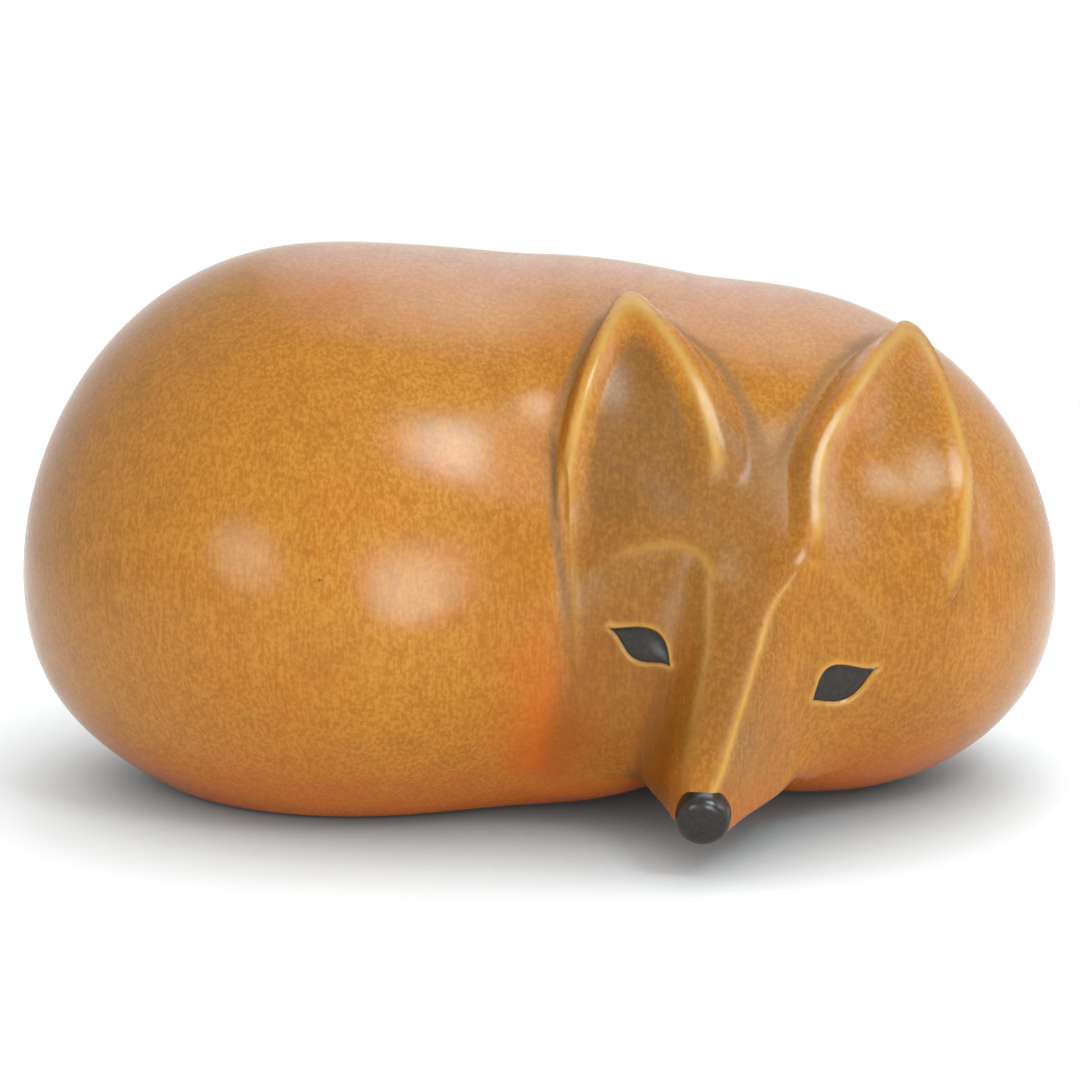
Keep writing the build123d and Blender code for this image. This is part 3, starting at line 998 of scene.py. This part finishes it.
def lower_shell(fox):
    """Bowl under the seam: rays that swing from level to the rim of the drain, flattened at the foot."""
    body = fox.body
    bearings = np.linspace(0.0, 2 * pi, BODY_COLUMNS, endpoint=False)
    level = heading(bearings, 0.0)
    part = seam_rows(1.0)[:, None, None]
    walls = []
    for inset in (0.0, body.wall):
        rim = np.array(body.drain_centre) + level * body.drain_radius + (0.0, 0.0, inset)
        directions = unit((1.0 - part) * level + part * unit(rim - fox.hub))
        down = np.maximum(-directions[..., 2], 1e-6)
        to_floor = (fox.hub[2] - inset) / down
        reach = -blended(-(fox.body_reach(directions) - inset), -to_floor, body.foot_round)
        walls.append(fox.hub + directions * reach[..., None])
    points = np.concatenate([walls[0], walls[1][::-1]])
    faces = grid_faces(len(points), BODY_COLUMNS, wrap_rows=True, wrap_columns=True)
    return points.reshape(-1, 3), [faces]


# Face: how deep its rays start behind the brow and how far they search, its angles aside and along,
# the angle over which its edges sink, its grid, its wall, and the lowest height of its top and underside
FACE_HUB_DEPTH = 30 * MM
FACE_SEARCH = (4 * MM, 90 * MM)
FACE_SPAN = (radians(-60), radians(60))
FACE_RISE = (radians(-50), radians(76))
FACE_FADE = radians(12)
FACE_COLUMNS = 286
FACE_ROWS = 304
FACE_WALL = 2.4 * MM
FACE_LOWEST = 0.6 * MM
FACE_UNDER_LOWEST = 1.2 * MM

# How deep the edges of face and ears slip under what they rise from, and from which height they are clear
UNDER_BODY = 0.12 * MM
EAR_UNDER_BODY = UNDER_BODY * 1.5
CLEAR_OF_BODY = 0.35 * MM


def closer_in_middle(low, high, count):
    """Values from low to high, closer together in the middle: 0.65u + 0.35u^3 for u from -1 to 1."""
    even = np.linspace(-1.0, 1.0, count)
    return (low + high) / 2 + (high - low) / 2 * (0.65 * even + 0.35 * even**3)


def head_patch(fox):
    """Face on rays from behind the brow, by angles along and aside; its edge slips under the body."""
    centre = fox.brow - fox.out * FACE_HUB_DEPTH
    along = closer_in_middle(*FACE_RISE, FACE_ROWS)[:, None]
    aside = closer_in_middle(*FACE_SPAN, FACE_COLUMNS)[None, :]
    parts = (np.cos(aside) * np.cos(along), np.cos(aside) * np.sin(along), np.sin(aside))
    directions = in_axes(parts, (fox.out, fox.along, fox.aside))
    reach = first_crossing(centre, directions, fox.clay_field, *FACE_SEARCH)
    points = centre + directions * reach[..., None]
    normals = fox.outward(points, fox.clay_field)
    top = points + normals * fox.face_relief(points)[..., None]
    first, last = FACE_SPAN
    kept = ease(first, first + FACE_FADE, aside) * ease(last, last - FACE_FADE, aside)
    kept = kept * ease(FACE_RISE[0], FACE_RISE[0] + FACE_FADE, along)
    height = fox.body_field(top)
    above = height * np.where(height > 0.0, kept, 1.0)
    sunk = height - above + UNDER_BODY * ease(CLEAR_OF_BODY, 0.0, above)
    top = top - normals * sunk[..., None]
    top[..., 2] = np.maximum(top[..., 2], FACE_LOWEST)
    bottom = points - directions * FACE_WALL
    bottom[..., 2] = np.maximum(bottom[..., 2], FACE_UNDER_LOWEST)
    return top, bottom, slab_normals(top, bottom, directions, fox.outward(points, fox.body_field), above)


# Ear: its grid, its reach past the outline, the height from the base at which it starts, its wall,
# and how far its rays search
EAR_ROWS = 241
EAR_COLUMNS = 172
EAR_MARGIN = 6.0 * MM
EAR_BASE = -14 * MM
EAR_WALL = 1.6 * MM
EAR_SEARCH = (-30 * MM, 16 * MM)


def ear_patch(fox, ear):
    """Ear on a grid across and up its leaf outline, carried to the clay along its axis and raised."""
    up = np.linspace(EAR_BASE, ear["length"] + EAR_MARGIN, EAR_ROWS)[:, None]
    left, right = ear_half_widths(ear, np.minimum(up, ear["length"]))
    middle = (right - left) / 2
    half = (right + left) / 2 + EAR_MARGIN
    across = middle + half * np.linspace(-1.0, 1.0, EAR_COLUMNS)[None, :]
    start = ear["base"] + in_axes((across, up), (ear["across"], ear["up"]))
    directions = np.broadcast_to(ear["out"], start.shape)
    reach = first_crossing(start, directions, fox.clay_field, *EAR_SEARCH)
    points = start + directions * reach[..., None]
    normals = fox.outward(points, fox.clay_field)
    ground = points + normals * fox.face_relief(points)[..., None]
    relief = fox.ear_relief(points, ear)
    sunk = EAR_UNDER_BODY * ease(CLEAR_OF_BODY, 0.0, relief)
    top = ground + normals * (relief - sunk)[..., None]
    bottom = points - normals * EAR_WALL
    return top, bottom, slab_normals(top, bottom, normals, fox.outward(ground, fox.skin_field), relief)


# Eye: its grid, its thickness under the face, the angle by which its ends stop short of a point,
# and how far its rays search
EYE_ROWS = 70
EYE_COLUMNS = 28
EYE_DEPTH = 1.1 * MM
EYE_CORNER = 0.15
EYE_SEARCH = (-40 * MM, 20 * MM)


def eye_inlay(fox, eye):
    """Eye on a grid along its length and from lid to lid, laid on the face and slightly domed."""
    face = fox.face
    inner, chord, upward = eye_axes(eye)
    part = (1.0 - np.cos(np.linspace(EYE_CORNER, pi - EYE_CORNER, EYE_ROWS)))[:, None] / 2
    lid = np.linspace(-1.0, 1.0, EYE_COLUMNS)[None, :]
    upper, lower = lid_height(eye.upper, part), lid_height(eye.lower, part)
    rise = (upper - lower) / 2 + lid * (upper + lower) / 2
    flat = inner + part[..., None] * chord + rise[..., None] * upward
    start = fox.brow + flat[..., :1] * fox.aside + flat[..., 1:] * fox.along
    directions = np.broadcast_to(fox.out, start.shape)
    reach = first_crossing(start, directions, fox.clay_field, *EYE_SEARCH)
    points = start + directions * reach[..., None]
    normals = fox.outward(points, fox.clay_field)
    dome = (1.0 - lid**2) * np.sin(pi * part) ** 0.5
    height = fox.line_relief(points) + face.eye_dome * dome - face.eye_sink
    return points + normals * height[..., None], points - normals * EYE_DEPTH


# Nose: its grid from the tip back and round
NOSE_ROWS = 64
NOSE_COLUMNS = 96


def nose_cap(fox):
    """Blunt button: rings about the way that the nose faces, their radius sin^p and their depth cos^p."""
    face = fox.face
    across, ahead, upwards = face.nose_half
    sideways = unit(fox.aside - fox.nose_way * (fox.aside @ fox.nose_way))
    over = np.cross(sideways, fox.nose_way)
    turn = np.linspace(0.0, 2 * pi, NOSE_COLUMNS, endpoint=False)[None, :]
    back = np.linspace(0.0, pi, NOSE_ROWS)[:, None]
    radius = np.sin(back).clip(0.0) ** face.nose_squareness
    depth = np.sign(np.cos(back)) * np.abs(np.cos(back)) ** face.nose_squareness
    parts = (across * radius * np.cos(turn), upwards * radius * np.sin(turn), ahead * depth)
    points = fox.nose_centre + in_axes(parts, (sideways, over, fox.nose_way))
    faces = grid_faces(NOSE_ROWS, NOSE_COLUMNS, wrap_columns=True)
    return closed_poles(points, faces, (0, NOSE_ROWS - 1))


# Operators

class FOX_OT_body(bpy.types.Operator):
    """Shapes the two pressed halves of the hollow body"""
    bl_idname = "fox.shape_body"
    bl_label = "Shape Body"

    def execute(self, context):
        fox = Fox(context.scene)
        glaze = shared_material("amber_stoneware_glaze", glaze_material, context.scene.fox_glaze)
        for name, shape in (("body_upper_shell", upper_shell), ("body_lower_shell", lower_shell)):
            points, faces = shape(fox)
            make_piece(name + "_glazed", points, faces, glaze, fox.glaze_marks(points))
        return {"FINISHED"}


class FOX_OT_head(bpy.types.Operator):
    """Shapes the face with its snout, brows and eye sockets"""
    bl_idname = "fox.shape_head"
    bl_label = "Shape Head"

    def execute(self, context):
        fox = Fox(context.scene)
        glaze = shared_material("amber_stoneware_glaze", glaze_material, context.scene.fox_glaze)
        top, bottom, normals = head_patch(fox)
        points, faces = slab_mesh(top, bottom)
        make_piece("head_glazed", points, faces, glaze, fox.glaze_marks(points), normals)
        return {"FINISHED"}


class FOX_OT_ears(bpy.types.Operator):
    """Shapes both cupped ears"""
    bl_idname = "fox.shape_ears"
    bl_label = "Shape Ears"

    def execute(self, context):
        fox = Fox(context.scene)
        glaze = shared_material("ear_stoneware_glaze", glaze_material, context.scene.fox_glaze)
        for name, ear in fox.ears.items():
            top, bottom, normals = ear_patch(fox, ear)
            points, faces = slab_mesh(top, bottom)
            marks = fox.glaze_marks(points)
            make_piece(name + "_glazed", points, faces, glaze, marks, normals)
        return {"FINISHED"}


class FOX_OT_eyes(bpy.types.Operator):
    """Lays the black eyes into their sockets"""
    bl_idname = "fox.lay_eyes"
    bl_label = "Lay Eyes"

    def execute(self, context):
        fox = Fox(context.scene)
        glaze = shared_material("charcoal_glaze", black_glaze_material, context.scene.fox_glaze)
        for name, eye in EYES.items():
            points, faces = slab_mesh(*eye_inlay(fox, eye))
            make_piece(name + "_glazed", points, faces, glaze)
        return {"FINISHED"}


class FOX_OT_nose(bpy.types.Operator):
    """Sets the black nose on the snout"""
    bl_idname = "fox.set_nose"
    bl_label = "Set Nose"

    def execute(self, context):
        fox = Fox(context.scene)
        glaze = shared_material("charcoal_glaze", black_glaze_material, context.scene.fox_glaze)
        points, faces = nose_cap(fox)
        make_piece("nose_glazed", points, faces, glaze)
        return {"FINISHED"}


# Softboxes: direction from the object, then width and power of the lamp that lights it and of the lamp
# that its gloss shows
Softbox = namedtuple("Softbox", "direction light_width light gloss_width gloss")
SOFTBOXES = {
    "right_softbox": Softbox((0.404, -0.576, 0.711), 0.24, 2.6, 0.44, 6.0),
    "front_softbox": Softbox((0.249, -0.968, 0.028), 0.16, 2.8, 0.42, 3.7),
    "left_softbox": Softbox((-0.569, -0.820, 0.060), 0.20, 1.4, 0.36, 1.5),
    "side_softbox": Softbox((0.93, -0.10, 0.35), 0.60, 1.0, 0.60, 2.8),
    "top_softbox": Softbox((0.23, 0.36, 0.90), 0.60, 0.7, 0.40, 0.8),
    "overhead_softbox": Softbox((0.16, 0.45, 0.88), 0.60, 0.7, 0.90, 2.2),
    "rear_softbox": Softbox((0.12, 0.82, 0.57), 0.70, 1.5, 0.70, 1.2),
}

# Cool tint of the gloss, so that it looks white on the amber glaze
GLOSS_TINT = (0.76, 0.97, 1.0)


def seen_or_reflected(nodes):
    """1 on rays from the camera, a mirror or glass, and 0 on light that falls on a surface."""
    path = nodes.add("ShaderNodeLightPath").outputs
    direct = nodes.math("MAXIMUM", path["Is Camera Ray"], path["Is Glossy Ray"])
    return nodes.math("MAXIMUM", direct, path["Is Transmission Ray"])


# Floor, in metres: half its size, how far off the object darkens it with a painted shadow, and the span
# over which it turns plain white
FLOOR_REACH = 4.0
SHADOW_REACH = 0.10
PLAIN_WHITE = (0.13, 0.30)

# Paper of the floor: as it lights the object, as it is seen in the open, cooled against the warm light
# that the glaze throws on it, and as it is seen in the painted shadow near the object
LIT_PAPER = (0.85, 0.85, 0.85)
OPEN_PAPER = (0.68, 0.77, 0.80)
PAINTED_SHADOW_PAPER = (0.11, 0.17, 0.20)
WHITE = (1.0, 1.0, 1.0)


def floor_material():
    """White paper with a shadow painted near the object, from how little open sky is left there, over the
    lamps' own shadows, and plain white further off.
    """
    material, nodes = new_material("white_paper")
    where = nodes.add("ShaderNodeTexCoord").outputs["Object"]
    distance = nodes.add("ShaderNodeVectorMath", {0: where}, operation="LENGTH").outputs["Value"]
    seen = seen_or_reflected(nodes)
    far = nodes.math("MULTIPLY", nodes.ramp(distance, *PLAIN_WHITE), seen)
    # Painted shadow: where the object leaves little open sky, the paper seen by the camera turns darker
    # and its glow drops.
    sky = nodes.add("ShaderNodeAmbientOcclusion", {"Distance": SHADOW_REACH}, samples=16).outputs["AO"]
    glow_with_painted_shadow = nodes.math("MULTIPLY", nodes.math("MULTIPLY", nodes.math("POWER", sky, 1.15), 0.82), seen)
    painted_shadow_paper = nodes.mix(nodes.ramp(sky, 1.0, 0.0), rgba(OPEN_PAPER), rgba(PAINTED_SHADOW_PAPER))
    paper = nodes.add("ShaderNodeBsdfDiffuse", {"Color": nodes.mix(seen, rgba(LIT_PAPER), painted_shadow_paper)})
    lift = nodes.add("ShaderNodeEmission", {"Color": rgba(WHITE), "Strength": glow_with_painted_shadow})
    lit = nodes.add("ShaderNodeAddShader", {0: paper.outputs[0], 1: lift.outputs[0]})
    white = nodes.add("ShaderNodeEmission", {"Color": rgba(WHITE), "Strength": 1.0})
    surface = nodes.add("ShaderNodeMixShader", {0: far, 1: lit.outputs[0], 2: white.outputs[0]})
    nodes.add("ShaderNodeOutputMaterial", {"Surface": surface.outputs[0]})
    return material


def make_floor():
    """Wide flat floor under the foot."""
    far = FLOOR_REACH
    corners = [(-far, -far, 0.0), (far, -far, 0.0), (far, far, 0.0), (-far, far, 0.0)]
    mesh = bpy.data.meshes.new("floor")
    mesh.from_pydata(corners, [], [(0, 1, 2, 3)])
    mesh.materials.append(floor_material())
    floor = bpy.data.objects.new("floor", mesh)
    bpy.context.scene.collection.objects.link(floor)


def make_world(stage):
    """Even light from all round, white where it is seen or reflected."""
    world = bpy.data.worlds.new("soft_room")
    world.use_nodes = True
    nodes = Nodes(world.node_tree)
    strength = nodes.ramp(seen_or_reflected(nodes), 0.0, 1.0, stage.ambient, 1.0)
    light = nodes.add("ShaderNodeBackground", {"Color": rgba(WHITE), "Strength": strength})
    nodes.add("ShaderNodeOutputWorld", {"Surface": light.outputs[0]})
    bpy.context.scene.world = world


def aim(thing, towards):
    """Turns a lamp or camera to look at a point."""
    thing.rotation_euler = (towards - thing.location).to_track_quat("-Z", "Y").to_euler()


def make_lamp(name, direction, width, power, stage):
    """Round area lamp in a direction from the target, turned to it."""
    target = Vector(stage.target)
    light = bpy.data.lights.new(name, "AREA")
    light.shape = "DISK"
    light.size = width
    light.energy = power
    lamp = bpy.data.objects.new(name, light)
    lamp.location = target + Vector(direction).normalized() * stage.lamp_distance
    aim(lamp, target)
    bpy.context.scene.collection.objects.link(lamp)
    return lamp


def make_softboxes(stage):
    """Two lamps for each softbox: one lights the object, and the other is only seen in its gloss.

    The second one casts no shadow, so that the floor hides no part of a low softbox from the gloss.
    """
    for name, softbox in SOFTBOXES.items():
        lit = make_lamp(name, softbox.direction, softbox.light_width, softbox.light, stage)
        lit.visible_glossy = False
        gloss = make_lamp(name + "_gloss", softbox.direction, softbox.gloss_width, softbox.gloss, stage)
        gloss.visible_diffuse = False
        gloss.data.color = GLOSS_TINT
        gloss.data.use_shadow = False
        gloss.data.cycles.use_multiple_importance_sampling = False


def make_camera(stage):
    """Camera at the height of the picture, square to the length of the body."""
    target = Vector(stage.target)
    camera = bpy.data.objects.new("camera", bpy.data.cameras.new("camera"))
    camera.location = target + Vector((0.0, -cos(stage.elevation), sin(stage.elevation))) * stage.distance
    aim(camera, target)
    camera.data.angle = 2 * atan(stage.picture_width / 2 / stage.distance)
    camera.data.clip_start = stage.distance / 100
    bpy.context.scene.collection.objects.link(camera)
    bpy.context.scene.camera = camera


class FOX_OT_stage(bpy.types.Operator):
    """Sets up the floor, the light and the camera"""
    bl_idname = "fox.set_stage"
    bl_label = "Set Stage"

    def execute(self, context):
        stage = context.scene.fox_stage
        context.scene.view_settings.view_transform = "Standard"
        make_floor()
        make_world(stage)
        make_softboxes(stage)
        make_camera(stage)
        return {"FINISHED"}


OPERATORS = (FOX_OT_body, FOX_OT_head, FOX_OT_ears, FOX_OT_eyes, FOX_OT_nose, FOX_OT_stage)


class FOX_PT_sidebar(bpy.types.Panel):
    """Lists the steps that make the fox"""
    bl_idname = "FOX_PT_sidebar"
    bl_label = "Curled Fox"
    bl_space_type = "VIEW_3D"
    bl_region_type = "UI"
    bl_category = "Fox"

    def draw(self, context):
        for operator in OPERATORS:
            self.layout.operator(operator.bl_idname)
        for group in SETTINGS:
            box = self.layout.box()
            settings = getattr(context.scene, group)
            for name in settings.__annotations__:
                box.prop(settings, name)


def register():
    """Adds the settings, the steps and the panel."""
    for settings in SETTINGS.values():
        bpy.utils.register_class(settings)
    for operator in OPERATORS:
        bpy.utils.register_class(operator)
    bpy.utils.register_class(FOX_PT_sidebar)
    for group, settings in SETTINGS.items():
        setattr(bpy.types.Scene, group, PointerProperty(type=settings))


def unregister():
    """Takes them out again, the last one first."""
    for group in SETTINGS:
        delattr(bpy.types.Scene, group)
    bpy.utils.unregister_class(FOX_PT_sidebar)
    for operator in reversed(OPERATORS):
        bpy.utils.unregister_class(operator)
    for settings in reversed(SETTINGS.values()):
        bpy.utils.unregister_class(settings)


def main():
    register()
    bpy.ops.fox.shape_body()
    bpy.ops.fox.shape_head()
    bpy.ops.fox.shape_ears()
    bpy.ops.fox.lay_eyes()
    bpy.ops.fox.set_nose()
    bpy.ops.fox.set_stage()


if __name__ == "__main__":
    main()
